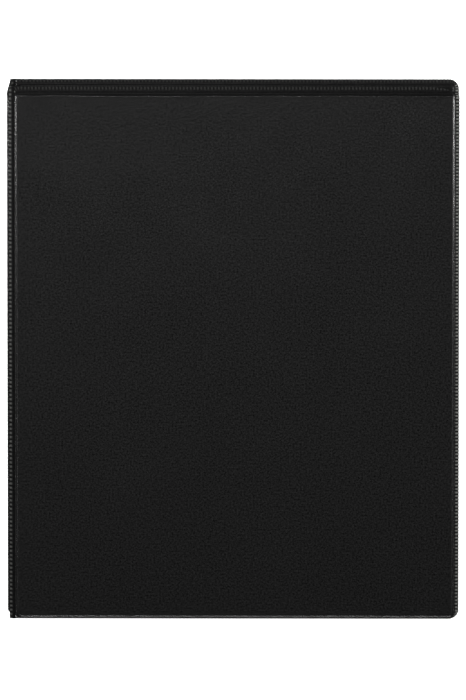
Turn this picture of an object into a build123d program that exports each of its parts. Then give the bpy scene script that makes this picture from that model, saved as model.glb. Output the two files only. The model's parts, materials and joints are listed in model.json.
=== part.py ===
"""A view binder: vinyl-covered boards with clear outer pockets, closed round a D-ring mechanism.

The closed binder lies on its back cover. X runs from the spine to the fore edge, Y from the foot to
the head and Z up through the depth. The origin is the centre of its footprint, on the table.
All sizes are in millimetres.
"""

import os
from math import cos, radians, sin

from build123d import *

os.makedirs("parts", exist_ok=True)

# Case: overall size, closed
WIDTH = 250.0
HEIGHT = 297.0
DEPTH = 40.0

# Case: sheet thicknesses
POCKET_T = 0.2
LINER_T = 0.3
BOARD_T = 2.0
VINYL_T = 0.35
FILM_T = 0.15

# Case: how the vinyl runs off a board's edge down to the weld
WELD_RIM = 2.4
COVER_FOOT_RIM = 0.7
SLOPE = 1.5
SLOPE_TOP = 0.4
BOARD_GAP = 0.05
BOARD_R = 1.5
RIM_R = 5.5
FILM_HEAD_GAP = 1.3
FILM_INSET = 0.2

# Case: the vinyl hinges, which turn a corner between a cover and the spine
HINGE_REACH = 2.9
HINGE_R = 2.0

# Case: the front cover's head corner at the fore edge, which is cut to a long sweep
SWEEP_LENGTH = 17.3
SWEEP_DROP = 3.0
SWEEP_CORNER = 2.8

# Inner pockets
POCKET_INSET = 2.0
POCKET_SPINE_HEIGHT = 150.0
POCKET_FORE_HEIGHT = 185.0
FRONT_POCKET_START = 24.0
BACK_POCKET_START = 40.0

# Ring mechanism: where it sits and how it is spaced
MECHANISM_FROM_SPINE = 20.2
RING_PITCH = 108.0
RIVET_PITCH = 108.0

# Ring mechanism: the arched housing
HOUSING_HALF_LENGTH = 130.0
HOUSING_HALF_WIDTH = 10.8
HOUSING_T = 0.8
SHOULDER_HEIGHT = 5.0
INNER_SHOULDER = 4.6
CROWN_HEIGHT = 7.2
HEM_HEIGHT = 2.7
EAR_LAP = 2.0
EAR_R = 2.8
LEG_SLOT = (5.0, 9.8)
LEG_SLOT_LENGTH = 4.4
LEG_SLOT_HEIGHT = 4.4

# Ring mechanism: the two carrier plates, which rock about their outer edges
PIVOT_OFFSET = 9.1
PIVOT_HEIGHT = 3.6
PLATE_T = 1.2
PLATE_REACH = 9.0
PLATE_TILT = 7.0
PLATE_END_GAP = 0.5
TONGUE_WIDTH = 3.5
TONGUE_TO_PIN = 2.3
POST_NOTCH_R = 3.2

# Ring mechanism: the wire half rings
WIRE_R = 1.4
LEG_OFFSET = 7.2
LEG_START = 1.5
RING_TOP = 28.6
TIP_OFFSET = 1.0
TIP_GAP = 0.1
FORE_BEND_R = 6.0
SPINE_SIDE_BENDS = ((-LEG_OFFSET, 9.0), (-13.5, 17.0), (-10.5, RING_TOP))
SPINE_SIDE_RADII = (5.0, 9.0, 8.0)
STUD_R = 0.9
STUD_HOLE_R = 1.0
STUD_HEAD_R = 1.6
STUD_HEAD_T = 0.5
NIB_R = 0.6
NIB_LENGTH = 1.0
NIB_TAPER = 10.0
SOCKET_R = 0.75
SOCKET_DEPTH = 1.3

# Ring mechanism: the opening levers and their pins
PIN_Y = 134.5
PIN_R = 1.0
EAR_HOLE_R = 1.02
LEVER_HOLE_R = 1.06
PIN_HEAD_R = 1.6
PIN_HEAD_T = 0.6
BARREL_R = 2.0
LEVER_HALF_WIDTH = 9.6
LEVER_T = 1.4
JAW_REACH = 3.6
JAW_BACK = 2.05
JAW_HALF_WIDTH = 4.0
JAW_LOW = 0.4
JAW_HIGH = 5.5
MOUTH_LOW = 1.4
MOUTH_HIGH = 4.4
HANDLE_POINTS = ((0.0, 0.0), (2.2, 9.5), (4.2, 15.5), (9.0, 17.6))
HANDLE_RADII = (8.0, 3.0)
HANDLE_CORNER_R = 3.5

# Ring mechanism: the rivets that fasten it to the back cover
RIVET_R = 2.0
RIVET_HOLE_R = 2.1
RIVET_HEAD_R = 3.5
RIVET_HEAD_T = 1.0
RIVET_HEAD_ROUND = 0.6
RIVET_FOOT_R = 4.5
RIVET_FOOT_HOLE_R = 4.6
RIVET_FOOT_T = 0.6

# Worked out from the above
FORE_X = WIDTH / 2
HALF_BOARD = BOARD_T / 2
MID_FROM_OUTSIDE = FILM_T + VINYL_T + HALF_BOARD
BACK_MID_Z = MID_FROM_OUTSIDE
FRONT_MID_Z = DEPTH - MID_FROM_OUTSIDE
SPINE_MID_X = MID_FROM_OUTSIDE - WIDTH / 2
HINGE_X = SPINE_MID_X + HINGE_REACH
COVER_WIDTH = FORE_X - HINGE_X
SPINE_WIDTH = FRONT_MID_Z - BACK_MID_Z - 2 * HINGE_REACH
BASE_Z = BACK_MID_Z + HALF_BOARD + LINER_T
MECHANISM_X = SPINE_MID_X + HALF_BOARD + LINER_T + MECHANISM_FROM_SPINE
RING_PLACES = {"foot": -RING_PITCH, "middle": 0.0, "head": RING_PITCH}
RIVET_YS = (-RIVET_PITCH / 2, RIVET_PITCH / 2)
STUD_X = (PIVOT_OFFSET - LEG_OFFSET - PLATE_T / 2 * sin(radians(PLATE_TILT))) / cos(radians(PLATE_TILT))
THROUGH = WIDTH

# Working planes. A panel plane lies in the middle of its board and faces outwards.
FRONT_OUT = Plane(origin=(HINGE_X + COVER_WIDTH / 2, 0, FRONT_MID_Z), x_dir=(1, 0, 0), z_dir=(0, 0, 1))
BACK_OUT = Plane(origin=(HINGE_X + COVER_WIDTH / 2, 0, BACK_MID_Z), x_dir=(1, 0, 0), z_dir=(0, 0, -1))
SPINE_OUT = Plane(origin=(SPINE_MID_X, 0, DEPTH / 2), x_dir=(0, 0, 1), z_dir=(-1, 0, 0))
ACROSS = Plane(origin=(MECHANISM_X, 0, BASE_Z), x_dir=(1, 0, 0), z_dir=(0, -1, 0))
ALONG = Plane(origin=(MECHANISM_X, 0, BASE_Z), x_dir=(0, 1, 0), z_dir=(1, 0, 0))
OVER = Plane(origin=(MECHANISM_X, 0, BASE_Z), x_dir=(1, 0, 0), z_dir=(0, 0, 1))


def inward(outward):
    """A panel plane turned to face the inside of the binder."""
    return Plane(origin=outward.origin, x_dir=outward.x_dir, z_dir=-outward.z_dir)


def save(piece, label):
    """Label a finished piece and write it as a node of its own."""
    piece.part.label = label
    export_step(piece.part, f"parts/{label}.step")


# Panels. A cover has its weld rim at the fore edge too (fore_rim = 1); the spine does not (0).


def board_size(width, fore_rim):
    """A board's width and height: the panel less its slopes and weld rims."""
    foot_rim = COVER_FOOT_RIM if fore_rim else WELD_RIM
    return width - 2 * SLOPE - fore_rim * WELD_RIM, HEIGHT - 2 * SLOPE - WELD_RIM - foot_rim


def board_shift(plane, fore_rim):
    """How far a board's centre lies from its panel's, because a cover's rims differ in width."""
    return -fore_rim * WELD_RIM / 2, -plane.y_dir.Y * fore_rim * (WELD_RIM - COVER_FOOT_RIM) / 2


def make_board(plane, width, fore_rim, riveted=False):
    """The chipboard between the two vinyl sheets, countersunk for the rivets' feet if it has them."""
    board_width, board_height = board_size(width, fore_rim)
    with BuildPart() as board:
        with BuildSketch(plane.offset(-HALF_BOARD)):
            with Locations(board_shift(plane, fore_rim)):
                RectangleRounded(board_width, board_height, BOARD_R)
        extrude(amount=BOARD_T)
        if riveted:
            face_z = BACK_MID_Z - HALF_BOARD
            with Locations([Plane(origin=(MECHANISM_X, y, face_z), z_dir=(0, 0, -1)) for y in RIVET_YS]):
                CounterBoreHole(RIVET_HOLE_R, RIVET_FOOT_HOLE_R, RIVET_FOOT_T)
    return board


def make_sheet(plane, width, fore_rim, thickness, swept=False, riveted=False):
    """A vinyl sheet: a flat rim at the weld, a slope up the board's edge and a flat over its face."""
    board_width, board_height = board_size(width, fore_rim)
    shift = board_shift(plane, fore_rim)
    with BuildPart() as sheet:
        with BuildSketch(plane) as rim:
            Rectangle(width, HEIGHT)
            if fore_rim:
                fillet(rim.vertices().group_by(Axis.X)[-1], RIM_R)
        extrude(amount=thickness)
        for level, grow in ((0, SLOPE), (HALF_BOARD + thickness, SLOPE_TOP)):
            with BuildSketch(plane.offset(level)):
                with Locations(shift):
                    RectangleRounded(board_width + 2 * grow, board_height + 2 * grow, BOARD_R + grow)
        loft()
        for level, grow in ((0, SLOPE - SLOPE_TOP), (HALF_BOARD, BOARD_GAP)):
            with BuildSketch(plane.offset(level)):
                with Locations(shift):
                    RectangleRounded(board_width + 2 * grow, board_height + 2 * grow, BOARD_R + grow)
        loft(mode=Mode.SUBTRACT)
        if swept:
            with BuildSketch(FRONT_OUT):
                with BuildLine():
                    head = HEIGHT / 2
                    fore = width / 2
                    edge = Polyline(
                        (fore - SWEEP_LENGTH, head), (-fore, head), (-fore, -head), (fore, -head),
                        (fore, head - SWEEP_DROP - SWEEP_CORNER),
                    )
                    sweep_end = (fore - SWEEP_CORNER, head - SWEEP_DROP)
                    TangentArc(edge @ 0, sweep_end, tangent=(1, 0))
                    TangentArc(edge @ 1, sweep_end, tangent=(0, 1))
                make_face()
            extrude(amount=BOARD_T, both=True, mode=Mode.INTERSECT)
        if riveted:
            with Locations([(MECHANISM_X, y, BASE_Z) for y in RIVET_YS]):
                Hole(RIVET_HOLE_R)
    return sheet


def make_film(plane, width, fore_rim):
    """The clear film over a panel, sealed on three sides and open at the head."""
    board_width, board_height = board_size(width, fore_rim)
    shift_x, shift_y = board_shift(plane, fore_rim)
    head = plane.y_dir.Y
    height = board_height + FILM_INSET - FILM_HEAD_GAP
    with BuildPart() as film:
        with BuildSketch(plane.offset(HALF_BOARD + VINYL_T)) as outline:
            with Locations((shift_x, shift_y - head * (FILM_INSET + FILM_HEAD_GAP) / 2)):
                Rectangle(board_width + 2 * FILM_INSET, height)
            foot_corners = sorted(outline.vertices(), key=lambda corner: head * corner.Y)[:2]
            fillet(foot_corners, BOARD_R)
        extrude(amount=FILM_T)
    return film


def make_pocket(low_z, start):
    """An inner pocket: a thin sheet on a cover's liner, with a mouth that slants up to the fore edge."""
    spine_x = HINGE_X + start
    fore_x = FORE_X - WELD_RIM - SLOPE - POCKET_INSET
    foot_y = -HEIGHT / 2 + WELD_RIM + SLOPE + POCKET_INSET
    with BuildPart() as pocket:
        with BuildSketch(Plane.XY.offset(low_z)) as outline:
            Polygon(
                (spine_x, foot_y), (fore_x, foot_y),
                (fore_x, foot_y + POCKET_FORE_HEIGHT), (spine_x, foot_y + POCKET_SPINE_HEIGHT),
                align=None,
            )
            fillet(outline.vertices().group_by(Axis.Y)[0], BOARD_R)
        extrude(amount=POCKET_T)
    return pocket


def make_hinge(corner_z, side):
    """Two vinyl sheets welded flat together and turned a quarter round, from a cover to the spine."""
    spine_end = corner_z - side * HINGE_REACH
    outer_x, outer_z = SPINE_MID_X - VINYL_T, corner_z + side * VINYL_T
    inner_x, inner_z = SPINE_MID_X + LINER_T, corner_z - side * LINER_T
    with BuildPart() as hinge:
        with BuildSketch(Plane.XZ):
            with BuildLine():
                outer = FilletPolyline(
                    (HINGE_X, outer_z), (outer_x, outer_z), (outer_x, spine_end), radius=HINGE_R + VINYL_T
                )
                inner = FilletPolyline(
                    (inner_x, spine_end), (inner_x, inner_z), (HINGE_X, inner_z), radius=HINGE_R - LINER_T
                )
                Line(outer @ 1, inner @ 0)
                Line(inner @ 1, outer @ 0)
            make_face()
        extrude(amount=HEIGHT / 2, both=True)
    return hinge


# Ring mechanism


def make_housing():
    """The arched steel cover, hemmed along both edges, with ears for the levers' pins."""
    half, inner = HOUSING_HALF_WIDTH, HOUSING_HALF_WIDTH - HOUSING_T
    hem = HOUSING_HALF_WIDTH - 2 * HOUSING_T
    ear_start, ear_low = HOUSING_HALF_LENGTH - EAR_LAP, PIVOT_HEIGHT - EAR_R
    with BuildPart() as housing:
        with BuildSketch(ACROSS):
            with BuildLine():
                ThreePointArc((-half, SHOULDER_HEIGHT), (0, CROWN_HEIGHT), (half, SHOULDER_HEIGHT))
                ThreePointArc(
                    (-inner, INNER_SHOULDER), (0, CROWN_HEIGHT - HOUSING_T), (inner, INNER_SHOULDER)
                )
                for side in (-1, 1):
                    Polyline(
                        (side * half, SHOULDER_HEIGHT), (side * half, 0), (side * hem, 0),
                        (side * hem, HEM_HEIGHT), (side * inner, HEM_HEIGHT), (side * inner, INNER_SHOULDER),
                    )
            make_face()
        extrude(amount=HOUSING_HALF_LENGTH, both=True)
        for level in (-half, inner):
            with BuildSketch(ALONG.offset(level)):
                for end in (-1, 1):
                    with Locations((end * (ear_start + PIN_Y) / 2, (ear_low + SHOULDER_HEIGHT) / 2)):
                        Rectangle(PIN_Y - ear_start, SHOULDER_HEIGHT - ear_low)
                    with Locations((end * PIN_Y, PIVOT_HEIGHT)):
                        Circle(EAR_R)
            extrude(amount=HOUSING_T)
        with BuildSketch(ALONG):
            with Locations((-PIN_Y, PIVOT_HEIGHT), (PIN_Y, PIVOT_HEIGHT)):
                Circle(EAR_HOLE_R)
        extrude(amount=THROUGH, both=True, mode=Mode.SUBTRACT)
        with BuildSketch(OVER):
            with Locations([(0, y) for y in RIVET_YS]):
                Circle(RIVET_HOLE_R)
        extrude(amount=THROUGH, mode=Mode.SUBTRACT)
        with BuildSketch(OVER.offset(LEG_SLOT_HEIGHT)):
            slot_x = sum(LEG_SLOT) / 2
            with Locations([(side * slot_x, y) for side in (-1, 1) for y in RING_PLACES.values()]):
                Rectangle(LEG_SLOT[1] - LEG_SLOT[0], LEG_SLOT_LENGTH)
        extrude(amount=THROUGH, mode=Mode.SUBTRACT)
    return housing


def plate_plane(side):
    """A carrier plate's middle plane at rest: origin on its pivot edge, x towards the other plate."""
    tilt = radians(PLATE_TILT)
    pivot = (MECHANISM_X + side * PIVOT_OFFSET, 0, BASE_Z + PIVOT_HEIGHT)
    return Plane(
        origin=pivot, x_dir=(-side * cos(tilt), 0, -sin(tilt)), z_dir=(-side * sin(tilt), 0, cos(tilt))
    )


def make_carrier_plate(side):
    """One of the two rocking plates, with a rounded pivot edge, a tongue at each end and post notches."""
    plane = plate_plane(side)
    with BuildPart() as plate:
        with BuildSketch(plane):
            with Locations((PLATE_REACH / 2, 0)):
                Rectangle(PLATE_REACH, 2 * (HOUSING_HALF_LENGTH - PLATE_END_GAP))
            with Locations((PLATE_REACH - TONGUE_WIDTH / 2, 0)):
                Rectangle(TONGUE_WIDTH, 2 * (PIN_Y - TONGUE_TO_PIN))
            with Locations([(PIVOT_OFFSET, y) for y in RIVET_YS]):
                Circle(POST_NOTCH_R, mode=Mode.SUBTRACT)
            with Locations([(STUD_X, y) for y in RING_PLACES.values()]):
                Circle(STUD_HOLE_R, mode=Mode.SUBTRACT)
        extrude(amount=PLATE_T / 2, both=True)
        with BuildSketch(Plane(origin=plane.origin, z_dir=(0, 1, 0))):
            Circle(PLATE_T / 2)
        extrude(amount=HOUSING_HALF_LENGTH - PLATE_END_GAP, both=True)
    return plate


def make_half_ring(side, y):
    """Half of a D ring: a bent wire that stands on its carrier plate and is riveted through it."""
    tip_x = TIP_OFFSET + side * TIP_GAP / 2
    if side < 0:
        bends, radii = SPINE_SIDE_BENDS, SPINE_SIDE_RADII
    else:
        bends, radii = ((LEG_OFFSET, RING_TOP),), (FORE_BEND_R,)
    plate = plate_plane(side)
    stud_place = plate.from_local_coords((STUD_X, side * -y, 0))
    stud = Plane(origin=stud_place, x_dir=plate.x_dir, z_dir=plate.z_dir)
    tip = Plane(origin=(MECHANISM_X + tip_x, y, BASE_Z + RING_TOP), z_dir=(1, 0, 0))
    with BuildPart() as half_ring:
        with BuildLine(ACROSS.offset(-y)) as path:
            FilletPolyline((side * LEG_OFFSET, LEG_START), *bends, (tip_x, RING_TOP), radius=radii)
        with BuildSketch(OVER.offset(LEG_START)):
            with Locations((side * LEG_OFFSET, y)):
                Circle(WIRE_R)
        sweep(path=path.wires()[0])
        split(bisect_by=plate.offset(PLATE_T / 2), keep=Keep.TOP)
        with BuildSketch(stud.offset(-PLATE_T / 2)):
            Circle(STUD_R)
        extrude(amount=PLATE_T)
        with BuildSketch(stud.offset(-PLATE_T / 2 - STUD_HEAD_T)):
            Circle(STUD_HEAD_R)
        extrude(amount=STUD_HEAD_T)
        with BuildSketch(tip):
            Circle(NIB_R if side < 0 else SOCKET_R)
        if side < 0:
            extrude(amount=NIB_LENGTH, taper=NIB_TAPER)
        else:
            extrude(amount=SOCKET_DEPTH, mode=Mode.SUBTRACT)
    return half_ring


def make_lever(end):
    """An opening lever: a handle and a barrel on a pin, with jaws that hold the plates' tongues."""
    pin = (end * PIN_Y, PIVOT_HEIGHT)
    handle_points = [(pin[0] + end * out, pin[1] + up) for out, up in HANDLE_POINTS]
    jaw_ends = (end * (PIN_Y - JAW_REACH), pin[0])
    mouth_ends = (end * (PIN_Y - JAW_REACH), end * (PIN_Y - JAW_BACK))
    with BuildPart() as lever:
        with BuildSketch(ALONG):
            with BuildLine():
                FilletPolyline(*handle_points, radius=HANDLE_RADII)
            trace(line_width=LEVER_T)
            with Locations(pin):
                Circle(BARREL_R)
        extrude(amount=LEVER_HALF_WIDTH, both=True)
        handle_end = lever.faces().sort_by(Axis.Y)[-1 if end > 0 else 0]
        fillet(handle_end.edges().sort_by(SortBy.LENGTH)[:2], HANDLE_CORNER_R)
        with BuildSketch(ALONG):
            with Locations((sum(jaw_ends) / 2, (JAW_LOW + JAW_HIGH) / 2)):
                Rectangle(abs(jaw_ends[1] - jaw_ends[0]), JAW_HIGH - JAW_LOW)
        extrude(amount=JAW_HALF_WIDTH, both=True)
        with BuildSketch(ALONG):
            with Locations((sum(mouth_ends) / 2, (MOUTH_LOW + MOUTH_HIGH) / 2)):
                Rectangle(abs(mouth_ends[1] - mouth_ends[0]), MOUTH_HIGH - MOUTH_LOW)
            with Locations(pin):
                Circle(LEVER_HOLE_R)
        extrude(amount=THROUGH, both=True, mode=Mode.SUBTRACT)
    return lever


def make_lever_pins():
    """The two lever pins, headed at both ends outside the housing's ears."""
    with BuildPart() as pins:
        with BuildSketch(ALONG):
            with Locations((-PIN_Y, PIVOT_HEIGHT), (PIN_Y, PIVOT_HEIGHT)):
                Circle(PIN_R)
        extrude(amount=HOUSING_HALF_WIDTH, both=True)
        for level in (-HOUSING_HALF_WIDTH - PIN_HEAD_T, HOUSING_HALF_WIDTH):
            with BuildSketch(ALONG.offset(level)):
                with Locations((-PIN_Y, PIVOT_HEIGHT), (PIN_Y, PIVOT_HEIGHT)):
                    Circle(PIN_HEAD_R)
            extrude(amount=PIN_HEAD_T)
    return pins


def make_rivets():
    """The two rivets: a head on the housing's crown, a shank and a foot sunk in the back board."""
    foot_z = BACK_MID_Z - HALF_BOARD - BASE_Z
    with BuildPart() as rivets:
        for level, radius, height in (
            (foot_z, RIVET_FOOT_R, RIVET_FOOT_T),
            (foot_z, RIVET_R, CROWN_HEIGHT - foot_z),
            (CROWN_HEIGHT, RIVET_HEAD_R, RIVET_HEAD_T),
        ):
            with BuildSketch(OVER.offset(level)):
                with Locations([(0, y) for y in RIVET_YS]):
                    Circle(radius)
            extrude(amount=height)
        fillet(rivets.edges().group_by(Axis.Z)[-1], RIVET_HEAD_ROUND)
    return rivets


# Back cover
save(make_board(BACK_OUT, COVER_WIDTH, 1, riveted=True), "back_board")
save(make_sheet(BACK_OUT, COVER_WIDTH, 1, VINYL_T), "back_outer_vinyl")
save(make_sheet(inward(BACK_OUT), COVER_WIDTH, 1, LINER_T, riveted=True), "back_liner")
save(make_film(BACK_OUT, COVER_WIDTH, 1), "back_clear_film")
save(make_pocket(BASE_Z, BACK_POCKET_START), "back_inner_pocket")
save(make_hinge(BACK_MID_Z, -1), "back_hinge_strip")

# Spine
save(make_board(SPINE_OUT, SPINE_WIDTH, 0), "spine_board")
save(make_sheet(SPINE_OUT, SPINE_WIDTH, 0, VINYL_T), "spine_outer_vinyl")
save(make_sheet(inward(SPINE_OUT), SPINE_WIDTH, 0, LINER_T), "spine_liner")
save(make_film(SPINE_OUT, SPINE_WIDTH, 0), "spine_clear_film")

# Front cover
save(make_board(FRONT_OUT, COVER_WIDTH, 1), "front_board")
save(make_sheet(FRONT_OUT, COVER_WIDTH, 1, VINYL_T, swept=True), "front_outer_vinyl")
save(make_sheet(inward(FRONT_OUT), COVER_WIDTH, 1, LINER_T, swept=True), "front_liner")
save(make_film(FRONT_OUT, COVER_WIDTH, 1), "front_clear_film")
save(make_pocket(FRONT_MID_Z - HALF_BOARD - LINER_T - POCKET_T, FRONT_POCKET_START), "front_inner_pocket")
save(make_hinge(FRONT_MID_Z, 1), "front_hinge_strip")

# Ring mechanism
save(make_housing(), "ring_housing")
save(make_rivets(), "mechanism_rivets")
save(make_lever_pins(), "lever_pins")
for side, side_name in ((-1, "spine_side"), (1, "fore_side")):
    save(make_carrier_plate(side), f"{side_name}_carrier_plate")
    for place, ring_y in RING_PLACES.items():
        save(make_half_ring(side, ring_y), f"{side_name}_ring_{place}")
save(make_lever(1), "head_lever")
save(make_lever(-1), "foot_lever")
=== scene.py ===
import json
from math import ceil, cos, hypot, pi, radians, sin, sqrt

import bmesh
import bpy
from mathutils import Matrix, Vector, noise


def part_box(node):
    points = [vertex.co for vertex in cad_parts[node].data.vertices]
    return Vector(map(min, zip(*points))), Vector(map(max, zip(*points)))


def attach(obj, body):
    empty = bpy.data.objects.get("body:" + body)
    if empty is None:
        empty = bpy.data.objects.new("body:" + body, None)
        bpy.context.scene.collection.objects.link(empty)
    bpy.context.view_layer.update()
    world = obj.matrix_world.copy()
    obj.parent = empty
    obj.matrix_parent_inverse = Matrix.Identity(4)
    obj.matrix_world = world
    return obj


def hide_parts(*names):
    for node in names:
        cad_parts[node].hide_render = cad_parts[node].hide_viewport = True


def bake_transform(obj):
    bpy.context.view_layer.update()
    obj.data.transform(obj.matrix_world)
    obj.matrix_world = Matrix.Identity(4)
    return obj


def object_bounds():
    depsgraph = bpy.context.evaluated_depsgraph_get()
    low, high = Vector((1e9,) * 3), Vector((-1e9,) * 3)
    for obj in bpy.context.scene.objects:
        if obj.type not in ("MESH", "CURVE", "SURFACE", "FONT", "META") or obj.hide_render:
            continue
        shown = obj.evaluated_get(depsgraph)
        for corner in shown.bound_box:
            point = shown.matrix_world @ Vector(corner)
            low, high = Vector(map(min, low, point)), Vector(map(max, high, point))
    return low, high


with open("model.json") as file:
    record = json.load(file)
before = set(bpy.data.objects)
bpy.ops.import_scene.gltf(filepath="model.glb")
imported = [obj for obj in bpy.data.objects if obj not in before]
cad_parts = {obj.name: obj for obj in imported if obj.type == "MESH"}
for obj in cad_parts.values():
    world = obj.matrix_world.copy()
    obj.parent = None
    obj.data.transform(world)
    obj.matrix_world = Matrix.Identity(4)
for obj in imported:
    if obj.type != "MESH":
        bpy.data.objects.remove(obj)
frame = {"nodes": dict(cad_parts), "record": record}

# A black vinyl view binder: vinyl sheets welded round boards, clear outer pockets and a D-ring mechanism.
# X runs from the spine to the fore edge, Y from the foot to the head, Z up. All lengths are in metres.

CAD_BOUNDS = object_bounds()
MM = 0.001

# Sheets
VINYL_T = 0.35 * MM
LINER_T = 0.30 * MM
FILM_T = 0.15 * MM
POCKET_T = 0.20 * MM
BOARD_R = 1.5 * MM
SLOPE = 1.5 * MM
RIM_R = 5.5 * MM

# The front cover's head corner at the fore edge, cut to a long sweep
SWEEP_LENGTH = 17.3 * MM
SWEEP_DROP = 3.0 * MM
SWEEP_CORNER = 2.8 * MM

# The ribs that the welding tool leaves in the rims and hinges
RIM_PITCH = 1.95 * MM
HINGE_PITCH = 2.35 * MM
RIB_HEIGHT = 0.30 * MM
RIB_NOTCH = 0.12 * MM
PIT_DEPTH = 0.30 * MM
STEPS_PER_RIB = 6
PLAIN_STEP = 1.0 * MM

# A rib's half width at its foot, and the width of its flank, as shares of the pitch
RIB_HALF = 0.33
RIB_FLANK = 0.16

# The hinges' bend, and the inner pockets' mouths and slack
HINGE_R = 2.0 * MM
BEND_STEPS = 12
PIT_START = 0.3
PIT_SPAN = 0.42
MOUTH_SLANT = 35.0 * MM
POCKET_SWELL = 0.25 * MM
SWELL_START_MM = 30.0
POCKET_CELLS = 24

# How pale the vinyl is painted, and how much of that each place has; the point attribute carries it: a
# painted highlight on rib crests and between the hinge's pits, weaker at the head, and an even paleness on
# plain rims and pocket mouths
CREST = "crest"
CREST_COLOUR = (0.140, 0.141, 0.134)
FLAT_CREST = 0.12
# The head rim's crests get less painted highlight, since less light falls there from the head side.
HEAD_CREST = 0.12
HINGE_CREST = 0.35
MOUTH_CREST = 0.6

# How bright the room is below and above the horizon
ROOM_BELOW = 0.35
ROOM_ABOVE = 0.21

# The stage: the floor's half width, and the camera's lens, distance, target and angles
FLOOR_HALF = 60.0
LENS_MM = 651.0
CAMERA_AWAY = 7.0
TARGET_UP = 1.8 * MM
CAMERA_TILT = radians(7.6)
CAMERA_TURN = radians(0.5)
COVER_EDGE_X = 0.12

BOX = {name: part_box(name) for name in frame["nodes"]}


# Materials ---------------------------------------------------------------------------------------


def new_material(name):
    """A material with its Principled shader, its node tree and object coordinates."""
    material = bpy.data.materials.new(name)
    material.use_nodes = True
    tree = material.node_tree
    shader = tree.nodes["Principled BSDF"]
    place = tree.nodes.new("ShaderNodeTexCoord").outputs["Object"]
    return material, tree, shader, place


def add_noise(tree, place, scale, detail=3.0, roughness=0.55):
    """A noise texture's value, at so many cycles a metre."""
    node = tree.nodes.new("ShaderNodeTexNoise")
    node.inputs["Scale"].default_value = scale
    node.inputs["Detail"].default_value = detail
    node.inputs["Roughness"].default_value = roughness
    tree.links.new(place, node.inputs["Vector"])
    return node.outputs["Fac"]


def add_cells(tree, place, scale):
    """A cell texture's distance, at so many cells a metre."""
    node = tree.nodes.new("ShaderNodeTexVoronoi")
    node.inputs["Scale"].default_value = scale
    tree.links.new(place, node.inputs["Vector"])
    return node.outputs["Distance"]


def add_ramp(tree, value, low, high, start=0.3, stop=0.7):
    """Colours from low to high as a value goes from start to stop."""
    node = tree.nodes.new("ShaderNodeValToRGB")
    for stop_node, place, colour in zip(node.color_ramp.elements, (start, stop), (low, high)):
        stop_node.position = place
        stop_node.color = (*colour, 1.0)
    tree.links.new(value, node.inputs["Fac"])
    return node.outputs["Color"]


def add_range(tree, value, low, high, start=0.3, stop=0.7):
    """A number from low to high as a value goes from start to stop."""
    node = tree.nodes.new("ShaderNodeMapRange")
    for socket, number in zip(("From Min", "From Max", "To Min", "To Max"), (start, stop, low, high)):
        node.inputs[socket].default_value = number
    tree.links.new(value, node.inputs["Value"])
    return node.outputs["Result"]


def add_bump(tree, shader, value, depth, strength=1.0, below=None):
    """Relief of so many metres from a value, on top of another bump if one is given."""
    node = tree.nodes.new("ShaderNodeBump")
    node.inputs["Strength"].default_value = strength
    node.inputs["Distance"].default_value = depth
    tree.links.new(value, node.inputs["Height"])
    if below is not None:
        tree.links.new(below, node.inputs["Normal"])
    tree.links.new(node.outputs["Normal"], shader.inputs["Normal"])
    return node.outputs["Normal"]


def make_vinyl(name, dark, light, gloss, shine):
    """Black calendered vinyl: a fine leather grain, faint mottling, and a painted highlight that pales the
    crests where ribbed.
    """
    material, tree, shader, place = new_material(name)
    shader.inputs["Specular IOR Level"].default_value = shine
    crest = tree.nodes.new("ShaderNodeAttribute")
    crest.attribute_name = CREST
    mottle = add_ramp(tree, add_noise(tree, place, 1000.0, 3.0), (dark,) * 3, (light,) * 3)
    # Painted highlight: the crest attribute blends the vinyl towards a pale colour on the ribs' crests and
    # between the hinge's pits; plain rims and pocket mouths are paled evenly.
    crest_paling = tree.nodes.new("ShaderNodeMix")
    crest_paling.data_type = "RGBA"
    tree.links.new(crest.outputs["Fac"], crest_paling.inputs["Factor"])
    tree.links.new(mottle, crest_paling.inputs[6])
    crest_paling.inputs[7].default_value = (*CREST_COLOUR, 1.0)
    tree.links.new(crest_paling.outputs[2], shader.inputs["Base Color"])
    tree.links.new(add_range(tree, add_noise(tree, place, 60.0, 3.0), *gloss), shader.inputs["Roughness"])
    grain = add_bump(tree, shader, add_cells(tree, place, 1500.0), 0.02 * MM)
    add_bump(tree, shader, add_noise(tree, place, 900.0, 4.0), 0.03 * MM, below=grain)
    return material


def make_film():
    """Clear plastic film with a faint haze, through which the vinyl shows."""
    material, tree, shader, place = new_material("clear_film")
    haze = add_noise(tree, place, 1000.0, 3.0, 0.7)
    tree.links.new(add_ramp(tree, haze, (0.0003,) * 3, (0.035,) * 3), shader.inputs["Base Color"])
    smear = add_noise(tree, place, 25.0, 3.0)
    tree.links.new(add_range(tree, smear, 0.22, 0.28), shader.inputs["Roughness"])
    fine = add_bump(tree, shader, add_noise(tree, place, 1100.0, 2.0), 0.15 * MM)
    add_bump(tree, shader, add_noise(tree, place, 30.0, 2.0), 0.02 * MM, below=fine)
    shader.inputs["Alpha"].default_value = 0.4
    return material


def make_chipboard():
    """Grey-brown chipboard with pressed fibres."""
    material, tree, shader, place = new_material("chipboard")
    fibres = add_noise(tree, place, 600.0, 6.0, 0.7)
    board = add_ramp(tree, fibres, (0.19, 0.16, 0.13), (0.36, 0.32, 0.27))
    tree.links.new(board, shader.inputs["Base Color"])
    shader.inputs["Roughness"].default_value = 0.85
    add_bump(tree, shader, fibres, 0.05 * MM)
    return material


def make_nickel():
    """Bright nickel plate with fine polishing marks and slightly uneven gloss."""
    material, tree, shader, place = new_material("nickel_plate")
    shader.inputs["Metallic"].default_value = 1.0
    tint = add_noise(tree, place, 40.0, 2.0)
    tree.links.new(add_ramp(tree, tint, (0.60, 0.59, 0.56), (0.70, 0.69, 0.66)), shader.inputs["Base Color"])
    worn = add_noise(tree, place, 350.0, 4.0)
    tree.links.new(add_range(tree, worn, 0.14, 0.26), shader.inputs["Roughness"])
    add_bump(tree, shader, add_noise(tree, place, 2500.0, 2.0), 0.002 * MM)
    return material


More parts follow.
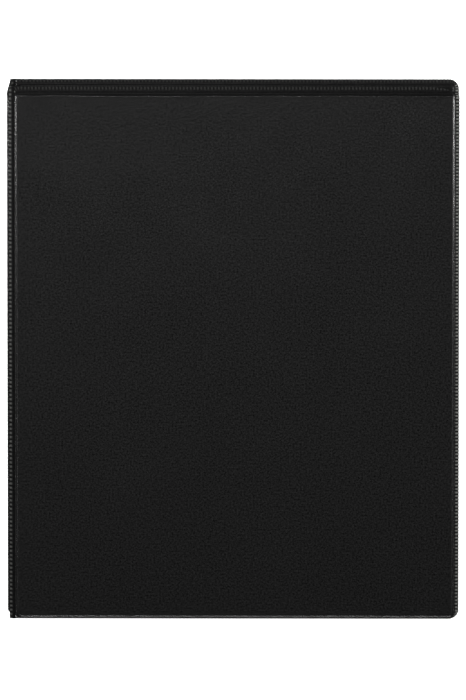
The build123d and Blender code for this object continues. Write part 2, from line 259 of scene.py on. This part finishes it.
def make_floor():
    """Matt white paper on a lit table."""
    material, tree, shader, place = new_material("floor_paper")
    fibre = add_noise(tree, place, 200.0, 2.0)
    tree.links.new(add_ramp(tree, fibre, (0.86,) * 3, (0.90,) * 3), shader.inputs["Base Color"])
    shader.inputs["Roughness"].default_value = 1.0
    shader.inputs["Specular IOR Level"].default_value = 0.0
    shader.inputs["Emission Color"].default_value = (1.0, 1.0, 1.0, 1.0)
    shader.inputs["Emission Strength"].default_value = 1.0
    material.cycles.emission_sampling = "NONE"
    return material


OUTER_VINYL = make_vinyl("outer_vinyl", 0.0020, 0.0070, (0.38, 0.48), 0.03)
INNER_VINYL = make_vinyl("inner_vinyl", 0.0030, 0.0080, (0.40, 0.50), 0.05)
POCKET_VINYL = make_vinyl("pocket_vinyl", 0.0080, 0.0160, (0.30, 0.40), 0.25)
CLEAR_FILM = make_film()
CHIPBOARD = make_chipboard()
NICKEL = make_nickel()


# Meshes ------------------------------------------------------------------------------------------


def make_piece(name, points, faces, material, replaced, crests=None):
    """A smooth-shaded piece from points and faces, with its normals outwards and how pale each point is."""
    mesh = bpy.data.meshes.new(name)
    mesh.from_pydata(points, [], faces)
    mesh.materials.append(material)
    if crests:
        mesh.attributes.new(CREST, "FLOAT", "POINT").data.foreach_set("value", crests)
    shell = bmesh.new()
    shell.from_mesh(mesh)
    bmesh.ops.remove_doubles(shell, verts=shell.verts, dist=0.002 * MM)
    bmesh.ops.recalc_face_normals(shell, faces=shell.faces)
    shell.to_mesh(mesh)
    shell.free()
    mesh.shade_smooth()
    piece = bpy.data.objects.new(name, mesh)
    bpy.context.collection.objects.link(piece)
    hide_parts(*replaced)
    return piece


def ring_faces(rows, count, closed=True):
    """Quads between rows of count points each; each row is a closed ring, or an open line."""
    last = count if closed else count - 1
    return [
        (row * count + step, row * count + (step + 1) % count,
         (row + 1) * count + (step + 1) % count, (row + 1) * count + step)
        for row in range(rows - 1) for step in range(last)
    ]


def resample(path, count):
    """The start and count - 1 further points evenly along a path of points, without its end."""
    spans = [hypot(b[0] - a[0], b[1] - a[1]) for a, b in zip(path, path[1:])]
    step, found = sum(spans) / count, []
    span, walked = 0, 0.0
    for number in range(count):
        target = number * step
        while span < len(spans) - 1 and walked + spans[span] < target:
            walked += spans[span]
            span += 1
        share = (target - walked) / spans[span] if spans[span] else 0.0
        (ax, ay), (bx, by) = path[span], path[span + 1]
        found.append((ax + (bx - ax) * share, ay + (by - ay) * share))
    return found


def rib_pulse(phase):
    """A rib's height along the rim, from 0 in the gaps to 1 on its flat top."""
    return min(1.0, max(0.0, (RIB_HALF - abs(phase % 1.0 - 0.5)) / RIB_FLANK))


def arc(centre, radius, start, turn, count=12):
    """Points along an arc, angles in degrees."""
    angles = [radians(start + turn * number / count) for number in range(count + 1)]
    return [(centre[0] + radius * cos(angle), centre[1] + radius * sin(angle)) for angle in angles]


# Panels ------------------------------------------------------------------------------------------


class Panel:
    """A cover or the spine: its board, its outline, and the plane in the middle of its board."""

    def __init__(self, name, across, through, outward, rim_sides, swept=False):
        board, sheet = BOX[f"{name}_board"], BOX[f"{name}_outer_vinyl"]
        self.name, self.across, self.through, self.outward = name, across, through, outward
        self.low, self.high = board[0][across], board[1][across]
        self.foot, self.head = board[0][1], board[1][1]
        self.edge_low, self.edge_high = sheet[0][across], sheet[1][across]
        self.edge_foot, self.edge_head = sheet[0][1], sheet[1][1]
        self.mid = (board[0][through] + board[1][through]) / 2
        self.half_board = (board[1][through] - board[0][through]) / 2
        self.rim_sides, self.swept = rim_sides, swept

    def put(self, u, v, w, face=1):
        """A point u across, v up and w out from the middle plane, on the outer face (1) or inner (-1)."""
        point = [0.0, v, 0.0]
        point[self.across] = u
        point[self.through] = self.mid + self.outward * face * w
        return point

    def head_line(self, u):
        """How far up the outline is at u, along the head edge."""
        along = u - (self.edge_high - SWEEP_LENGTH)
        if not self.swept or along <= 0:
            return self.edge_head
        run = SWEEP_LENGTH - SWEEP_CORNER
        radius = (run ** 2 + SWEEP_DROP ** 2) / (2 * SWEEP_DROP)
        return self.edge_head - radius + sqrt(radius ** 2 - min(along, run) ** 2)

    def corner_path(self, number, start, end):
        """The outline from start to end, past corner 0 (foot, high), 1 (head, high), 2 (head, low) or 3."""
        u = self.edge_high if number in (0, 1) else self.edge_low
        v = self.edge_head if number in (1, 2) else self.edge_foot
        if number == 1 and self.swept:
            sweep_end = self.edge_high - SWEEP_CORNER
            turn = arc((sweep_end, v - SWEEP_DROP - SWEEP_CORNER), SWEEP_CORNER, 0, 90)
            back = [sweep_end + (end[0] - sweep_end) * share / 8 for share in range(1, 9)]
            return [start, *turn, *[(x, self.head_line(x)) for x in back]]
        if (1 if number in (0, 1) else -1) not in self.rim_sides:
            return [start, (u, v), end]
        side, up = (1 if number in (0, 1) else -1), (1 if number in (1, 2) else -1)
        return [start, *arc((u - side * RIM_R, v - up * RIM_R), RIM_R, 90 * number - 90, 90), end]

    def stations(self):
        """Points round the board's edge: (board point, way out, outline point, rib phase or None)."""
        low, high, foot, head = (
            self.low + BOARD_R, self.high - BOARD_R, self.foot + BOARD_R, self.head - BOARD_R
        )
        centres = ((high, foot), (high, head), (low, head), (low, foot))
        found = []
        for number in range(4):
            turn = radians(90 * number - 90)
            out = (round(cos(turn)), round(sin(turn)))
            before, centre = centres[number - 1], centres[number]
            ribbed = out[0] == 0 or out[0] in self.rim_sides
            length = hypot(centre[0] - before[0], centre[1] - before[1])
            ribs = round(length / (RIM_PITCH if ribbed else PLAIN_STEP * STEPS_PER_RIB))
            for step in range(ribs * STEPS_PER_RIB):
                share = step / (ribs * STEPS_PER_RIB)
                point = [before[axis] + (centre[axis] - before[axis]) * share for axis in (0, 1)]
                found.append(((point[0] + BOARD_R * out[0], point[1] + BOARD_R * out[1]), out,
                              self.on_outline(point, out), step / STEPS_PER_RIB if ribbed else None))
            after = (-out[1], out[0])
            path = self.corner_path(number, self.on_outline(centre, out), self.on_outline(centre, after))
            count = STEPS_PER_RIB * max(3, round(sum(
                hypot(b[0] - a[0], b[1] - a[1]) for a, b in zip(path, path[1:])) / RIM_PITCH))
            for step, edge in enumerate(resample(path, count)):
                angle = turn + radians(90) * step / count
                way = (cos(angle), sin(angle))
                found.append(((centre[0] + BOARD_R * way[0], centre[1] + BOARD_R * way[1]), way,
                              edge, step / STEPS_PER_RIB))
        return found

    def on_outline(self, point, out):
        """The outline point straight out from a point."""
        if out[0]:
            return (self.edge_high if out[0] > 0 else self.edge_low), point[1]
        return point[0], (self.head_line(point[0]) if out[1] > 0 else self.edge_foot)


FRONT = Panel("front", 0, 2, 1, (1,), swept=True)
BACK = Panel("back", 0, 2, -1, (1,))
SPINE = Panel("spine", 2, 0, -1, ())

# A sheet's section from the middle of the board outwards: how far past the board's edge (mm), and how
# much of the drop from the board's face to the rim is done
SLOPE_SECTION = (
    (-1.3, 0.0), (-0.6, 0.0), (-0.1, 0.0), (0.12, 0.02), (0.3, 0.10), (0.55, 0.31), (0.85, 0.60),
    (1.1, 0.84), (1.26, 0.95), (1.4, 0.99),
)

# Across the rim: share of its width, share of the sheet's thickness, share of the rib's height
RIM_SECTION = (
    (0.0, 1.0, 0.0), (0.1, 0.95, 0.0), (0.2, 0.7, 0.55), (0.35, 0.6, 0.9), (0.52, 0.55, 1.0),
    (0.7, 0.5, 0.9), (0.84, 0.45, 0.6), (0.94, 0.4, 0.2), (1.0, 0.25, 0.0), (1.0, 0.0, 0.0),
    (0.0, 0.0, 0.0),
)


def make_sheet(panel, name, face, thickness, material, node):
    """A vinyl sheet as a closed skin: over the board, down its edge, out to the rim and back under."""
    stations = panel.stations()
    points, crests = [], []
    top = panel.half_board + thickness
    for past, done in SLOPE_SECTION:
        points += [
            panel.put(u + past * MM * out_u, v + past * MM * out_v, top - panel.half_board * done, face)
            for (u, v), (out_u, out_v), _, _ in stations
        ]
        crests += [0.0] * len(stations)
    for share, level, ribbed in RIM_SECTION:
        for (u, v), (out_u, out_v), (edge_u, edge_v), phase in stations:
            foot_u, foot_v = u + SLOPE * out_u, v + SLOPE * out_v
            width = hypot(edge_u - foot_u, edge_v - foot_v)
            pulse = 0.0 if phase is None else rib_pulse(phase)
            raised = RIB_HEIGHT * ribbed * pulse * min(1.0, width / MM)
            notch = 0.0 if phase is None or share < 0.9 else RIB_NOTCH * (1.0 - pulse) * min(1.0, width / MM)
            foot_u, foot_v = foot_u - notch * out_u, foot_v - notch * out_v
            edge_u, edge_v = edge_u - notch * out_u, edge_v - notch * out_v
            points.append(panel.put(
                foot_u + (edge_u - foot_u) * share, foot_v + (edge_v - foot_v) * share,
                thickness * level + raised, face))
            # Painted highlight: each rib's crest is paled by its height, less on the head rim, where the
            # light is dimmer; plain rims get an even paleness.
            pale = raised / RIB_HEIGHT * (1.0 if out_v < 0.6 else HEAD_CREST)
            crests.append(FLAT_CREST if phase is None else pale)
    for past, height in ((1.1, 0.0), (0.05, panel.half_board), (-1.3, panel.half_board)):
        points += [
            panel.put(u + past * MM * out_u, v + past * MM * out_v, height, face)
            for (u, v), (out_u, out_v), _, _ in stations
        ]
        crests += [0.0] * len(stations)
    count, rows = len(stations), len(SLOPE_SECTION) + len(RIM_SECTION) + 3
    faces = ring_faces(rows, count)
    faces += [tuple(range(count)), tuple(range((rows - 1) * count, rows * count))]
    return make_piece(name, points, faces, material, [node], crests)


def film_height(panel, past):
    """How high the film's outer face lies at a distance past the board's edge."""
    top = panel.half_board + VINYL_T + FILM_T
    low = VINYL_T + FILM_T * 0.6
    for (a, done_a), (b, done_b) in zip(SLOPE_SECTION, SLOPE_SECTION[1:]):
        if a <= past <= b:
            done = done_a + (done_b - done_a) * (past - a) / (b - a)
            return top + (low - top) * done
    return low if past > 0 else top


# Rows of the film: how far past the board's edge, and how far down from its open head edge, in mm
FILM_ROWS = (1.5, 1.4, 1.26, 1.1, 0.85, 0.55, 0.3, 0.12, -0.1, -0.6, -1.3)
LIP_ROWS = (0.0, 0.25, 0.7, 1.5, 3.0, 6.0, 12.0)
FILM_HEAD_GAP = 1.3 * MM
FILM_STEP = 4.0 * MM
FILM_CELL = 2.0 * MM
LIP_UNEVENNESS = 0.35 * MM
LIP_LIFT = 0.14 * MM
LIP_WAVES = 55.0
PANEL_SEED = 400.0

# How far down from the open edge its unevenness and its lift fade out, in mm
UNEVEN_REACH = 6.0
LIFT_REACH = 3.0


def lip_edge(panel, u, reach):
    """How far down from straight, and how far out, the film's cut edge is at u: gently uneven."""
    place = Vector((u * LIP_WAVES, panel.mid * PANEL_SEED, 0.3))
    down = LIP_UNEVENNESS * noise.noise(place)
    lift = LIP_LIFT * (0.5 + noise.noise(place * 1.7 + Vector((0.0, 0.0, 5.0))))
    flat = max(0.0, 1 - reach / LIFT_REACH) ** 2
    return down * max(0.0, 1 - reach / UNEVEN_REACH), max(0.0, lift) * flat


def film_side(head, foot):
    """The heights of the film's rows down a side: close together at the open edge, then even."""
    heights = [head - reach * MM for reach in LIP_ROWS]
    steps = ceil((heights[-1] - foot) / FILM_STEP)
    return heights + [heights[-1] + (foot - heights[-1]) * step / steps for step in range(1, steps)]


def film_path(panel, heights, foot):
    """The board's edge under the film, down one side, along the foot and up the other."""
    low, high = panel.low + BOARD_R, panel.high - BOARD_R
    path = [((panel.low, v), (-1.0, 0.0)) for v in heights]
    for centre_u, start in ((low, 180), (high, 270)):
        corner = arc((centre_u, foot), BOARD_R, start, 90, 10)
        path += [((u, v), ((u - centre_u) / BOARD_R, (v - foot) / BOARD_R)) for u, v in corner]
        if centre_u == low:
            steps = ceil((high - low) / FILM_STEP)
            path += [
                ((low + (high - low) * step / steps, panel.foot), (0.0, -1.0)) for step in range(1, steps)
            ]
    return path + [((panel.high, v), (1.0, 0.0)) for v in reversed(heights)]


def film_cap(panel, points, heights, head, inner, count):
    """The film's flat middle, added to the points as a grid between the inner ring's sides; its faces."""
    inset = FILM_ROWS[-1] * MM
    left, right = panel.low - inset, panel.high + inset
    columns = max(8, ceil((right - left) / FILM_CELL))
    top = film_height(panel, FILM_ROWS[-1])
    lines = []
    for row, v in enumerate(heights):
        line = [inner + row]
        for column in range(1, columns):
            u = left + (right - left) * column / columns
            down, lift = lip_edge(panel, u, (head - v) / MM)
            line.append(len(points))
            points.append(panel.put(u, v - down, top + lift))
        line.append(inner + count - 1 - row)
        lines.append(line)
    faces = [
        (above[i], above[i + 1], below[i + 1], below[i])
        for above, below in zip(lines, lines[1:]) for i in range(columns)
    ]
    last = len(heights) - 1
    faces.append((*range(inner + last, inner + count - last), *reversed(lines[-1][1:-1])))
    return faces


def make_film_piece(panel, name, node):
    """The clear film: welded down at both sides and the foot, with a loose, wavy edge at the head."""
    head, foot = panel.head - FILM_HEAD_GAP, panel.foot + BOARD_R
    heights = film_side(head, foot)
    path = film_path(panel, heights, foot)
    points = []
    for past in FILM_ROWS:
        for (u, v), (out_u, out_v) in path:
            place = (u + past * MM * out_u, v + past * MM * out_v)
            down, lift = lip_edge(panel, place[0], (head - v) / MM) if out_v == 0 else (0.0, 0.0)
            lift *= min(1.0, max(0.0, 0.2 - past))
            points.append(panel.put(place[0], place[1] - down, film_height(panel, past) + lift))
    count = len(path)
    faces = ring_faces(len(FILM_ROWS), count, closed=False)
    faces += film_cap(panel, points, heights, head, (len(FILM_ROWS) - 1) * count, count)
    piece = make_piece(name, points, faces, CLEAR_FILM, [node])
    solid = piece.modifiers.new("thickness", "SOLIDIFY")
    solid.thickness = FILM_T * 0.8
    solid.offset = -1.0
    return piece


# Hinges ------------------------------------------------------------------------------------------


def hinge_path(start_x, corner_x, corner_z, end_z, side):
    """The hinge's middle line from the cover round to the spine: points and ways out."""
    centre = (corner_x + HINGE_R, corner_z - side * HINGE_R)
    path = [((start_x + (centre[0] - start_x) * share / 3, corner_z), (0.0, side)) for share in range(3)]
    for step in range(BEND_STEPS + 1):
        angle = radians(90) * step / BEND_STEPS
        way = (-sin(angle), side * cos(angle))
        path.append(((centre[0] + HINGE_R * way[0], centre[1] + HINGE_R * way[1]), way))
    drop = end_z - centre[1]
    return path + [((corner_x, centre[1] + drop * share / 3), (-1.0, 0.0)) for share in range(1, 4)]


def make_hinge(cover, name, node):
    """Two sheets welded flat and turned a quarter round, from a cover's edge to the spine's, with pits."""
    side = cover.outward
    corner_x, corner_z = SPINE.mid, cover.mid
    start_x = cover.edge_low
    end_z = SPINE.edge_high if side > 0 else SPINE.edge_low
    path = hinge_path(start_x, corner_x, corner_z, end_z, side)
    total = len(path) - 1
    length = cover.edge_head - cover.edge_foot
    ribs = round(length / HINGE_PITCH)
    lines = ribs * STEPS_PER_RIB
    pitted = [min(1.0, max(0.0, (number / total - PIT_START) / PIT_SPAN)) for number in range(total + 1)]
    windows = [sin(pi * share) ** 0.5 for share in pitted]
    points, crests = [], []
    for line in range(lines + 1):
        y = cover.edge_foot + length * line / lines
        pit = 1.0 - rib_pulse(line / STEPS_PER_RIB + 0.5)
        ring = []
        for ((x, z), (out_x, out_z)), window in zip(path, windows):
            out = VINYL_T - PIT_DEPTH * pit * window
            ring.append((x + out * out_x, y, z + out * out_z))
        for ((x, z), (out_x, out_z)), window in reversed(list(zip(path, windows))):
            out = LINER_T - 0.3 * PIT_DEPTH * pit * window
            ring.append((x - out * out_x, y, z - out * out_z))
        points += ring
        # Painted highlight on the lands between the pits, which leaves the pits dark.
        crests += [HINGE_CREST * (1.0 - pit) * window for window in windows + windows[::-1]]
    count = len(ring)
    faces = ring_faces(lines + 1, count)
    faces += [tuple(range(count)), tuple(range(lines * count, (lines + 1) * count))]
    piece = make_piece(name, points, faces, OUTER_VINYL, [node], crests)
    if side > 0:
        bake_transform(piece)
    else:
        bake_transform(piece)
    return piece


# Inner pockets -----------------------------------------------------------------------------------

# A pocket's thickness as a share of its sheet, at so many mm in from a welded side or from its mouth
POCKET_SEAM = ((0.0, 0.8), (0.5, 0.8), (0.9, 0.45), (1.9, 0.45), (2.4, 0.9), (3.0, 1.0))
MOUTH_HEM = ((0.0, 1.3), (0.4, 1.6), (3.0, 1.6), (3.5, 1.2), (4.2, 1.0))


def seam_share(reach):
    """How thick the pocket is, as a share of its sheet, at a distance in from a welded side."""
    for (near, low), (far, high) in zip(POCKET_SEAM, POCKET_SEAM[1:]):
        if near <= reach <= far:
            return low + (high - low) * (reach - near) / (far - near)
    return 1.0


def make_pocket(name, node, body, side):
    """A pocket welded down on three sides, with a hemmed mouth that slants up to the fore edge."""
    (left, foot, low), (right, head, high) = BOX[node]
    base = low if side > 0 else high
    seam = [reach * MM for reach, _ in POCKET_SEAM]
    middle = right - left - 2 * seam[-1]
    inner = [seam[-1] + middle * cell / POCKET_CELLS for cell in range(1, POCKET_CELLS)]
    across = seam + inner + [right - left - reach for reach in reversed(seam)]
    hem = [reach * MM for reach, _ in MOUTH_HEM]
    points, crests = [], []
    rows = len(seam) + POCKET_CELLS - 1 + len(hem)
    for layer in (1, 0):
        for row in range(rows):
            for along in across:
                share = along / (right - left)
                tall = head - foot - MOUTH_SLANT * (1.0 - share)
                if row < len(seam):
                    up, hemmed = seam[row], 1.0
                elif row < rows - len(hem):
                    up = seam[-1] + (tall - seam[-1] - hem[-1]) * (row - len(seam) + 1) / POCKET_CELLS
                    hemmed = 1.0
                else:
                    reach, hemmed = MOUTH_HEM[rows - 1 - row]
                    up = tall - reach * MM
                edge = min(along, right - left - along, up) / MM
                swell = POCKET_SWELL * sin(pi * share) * (up / tall) ** 2 * min(1.0, edge / SWELL_START_MM)
                thick = POCKET_T * seam_share(edge) * hemmed + swell
                points.append((left + along, foot + up, base + side * thick * layer))
                crests.append(MOUTH_CREST if row >= rows - 2 else 0.0)
    count = len(across)
    faces = ring_faces(rows, count, closed=False)
    half = rows * count
    faces += [tuple(half + corner for corner in face) for face in faces]
    rim = [*range(count), *[row * count + count - 1 for row in range(1, rows)],
           *reversed(range((rows - 1) * count, rows * count - 1)),
           *[row * count for row in range(rows - 2, 0, -1)]]
    faces += [(a, b, half + b, half + a) for a, b in zip(rim, rim[1:] + rim[:1])]
    piece = make_piece(name, points, faces, POCKET_VINYL, [node], crests)
    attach(piece, body)


# Assembly of the case ----------------------------------------------------------------------------

for panel in (FRONT, BACK, SPINE):
    body = panel.name if panel.name == "spine" else f"{panel.name}_cover"
    for piece in (
        make_sheet(panel, f"{panel.name}_outer_skin", 1, VINYL_T, OUTER_VINYL,
                   f"{panel.name}_outer_vinyl"),
        make_sheet(panel, f"{panel.name}_lining", -1, LINER_T, INNER_VINYL,
                   f"{panel.name}_liner"),
        make_film_piece(panel, f"{panel.name}_view_film", f"{panel.name}_clear_film"),
    ):
        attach(piece, body)

make_hinge(FRONT, "front_hinge_weld", "front_hinge_strip")
make_hinge(BACK, "back_hinge_weld", "back_hinge_strip")
make_pocket("front_inside_pocket", "front_inner_pocket", "front_cover", -1)
make_pocket("back_inside_pocket", "back_inner_pocket", "back_cover", 1)


MATERIALS = {
    "outer_vinyl": OUTER_VINYL, "inner_vinyl": INNER_VINYL, "clear_film": CLEAR_FILM,
    "chipboard": CHIPBOARD, "nickel_steel": NICKEL,
}


def finish_nodes():
    """Gives each CAD node that still shows its material."""
    for part in frame["record"]["subparts"]:
        for place in frame["nodes"][part["node"]].material_slots:
            place.material = MATERIALS[part["material_slot"]]


finish_nodes()


# Stage -------------------------------------------------------------------------------------------


def add_floor():
    """A wide white floor."""
    mesh = bpy.data.meshes.new("floor")
    half, low = FLOOR_HALF, CAD_BOUNDS[0][2]
    corners = [(-half, -half, low), (half, -half, low), (half, half, low), (-half, half, low)]
    mesh.from_pydata(corners, [], [(0, 1, 2, 3)])
    mesh.materials.append(make_floor())
    floor = bpy.data.objects.new("floor", mesh)
    bpy.context.collection.objects.link(floor)
    floor.visible_glossy = False


def add_light(name, place, target, size, power):
    """A soft rectangular light of so many watts, aimed at a point."""
    data = bpy.data.lights.new(name, "AREA")
    data.shape = "RECTANGLE"
    data.size, data.size_y = size
    data.energy = power
    light = bpy.data.objects.new(name, data)
    light.visible_camera = False
    light.location = place
    light.rotation_euler = (Vector(target) - Vector(place)).to_track_quat("-Z", "Y").to_euler()
    bpy.context.collection.objects.link(light)


def add_world():
    """A dim grey room, a little lighter below."""
    world = bpy.data.worlds.new("room")
    world.use_nodes = True
    tree = world.node_tree
    way = tree.nodes.new("ShaderNodeSeparateXYZ")
    tree.links.new(tree.nodes.new("ShaderNodeTexCoord").outputs["Generated"], way.inputs["Vector"])
    shade = add_range(tree, way.outputs["Z"], ROOM_BELOW, ROOM_ABOVE, -0.12, 0.05)
    tree.links.new(shade, tree.nodes["Background"].inputs["Strength"])
    bpy.context.scene.world = world


def add_camera():
    """A long lens, a little towards the head and the fore edge from square-on."""
    data = bpy.data.cameras.new("camera")
    data.lens = LENS_MM
    data.sensor_width = 36.0
    data.clip_end = 400.0
    camera = bpy.data.objects.new("camera", data)
    target = Vector((0.0, TARGET_UP, FRONT.mid))
    tilt, turn = CAMERA_TILT, CAMERA_TURN
    way = Vector((sin(turn) * cos(tilt), sin(tilt), cos(turn) * cos(tilt)))
    camera.location = target + CAMERA_AWAY * way
    back = (camera.location - target).normalized()
    right = Vector((0.0, 1.0, 0.0)).cross(back).normalized()
    camera.rotation_euler = Matrix((right, back.cross(right), back)).transposed().to_euler()
    bpy.context.collection.objects.link(camera)
    bpy.context.scene.camera = camera


add_floor()
add_world()
add_camera()
for side, name, low_power, rim_power in ((-1, "left", 1.2, 4.0), (1, "right", 2.4, 5.0)):
    edge = side * COVER_EDGE_X
    add_light(f"{name}_low", (side * 0.50, 0.16, 0.06), (edge, 0.16, 0.04), (0.20, 0.12), low_power)
    add_light(f"{name}_rim", (side * 0.9, 0.1, 0.8), (edge, 0.0, 0.04), (0.9, 0.4), rim_power)
add_light("head_top", (-0.12, 0.45, 0.60), (0.0, 0.1, 0.04), (0.3, 0.3), 5.0)
add_light("foot_low", (0.0, -0.70, 0.05), (0.0, -0.15, 0.03), (0.7, 0.12), 2.6)
bpy.context.scene.view_settings.view_transform = "Standard"
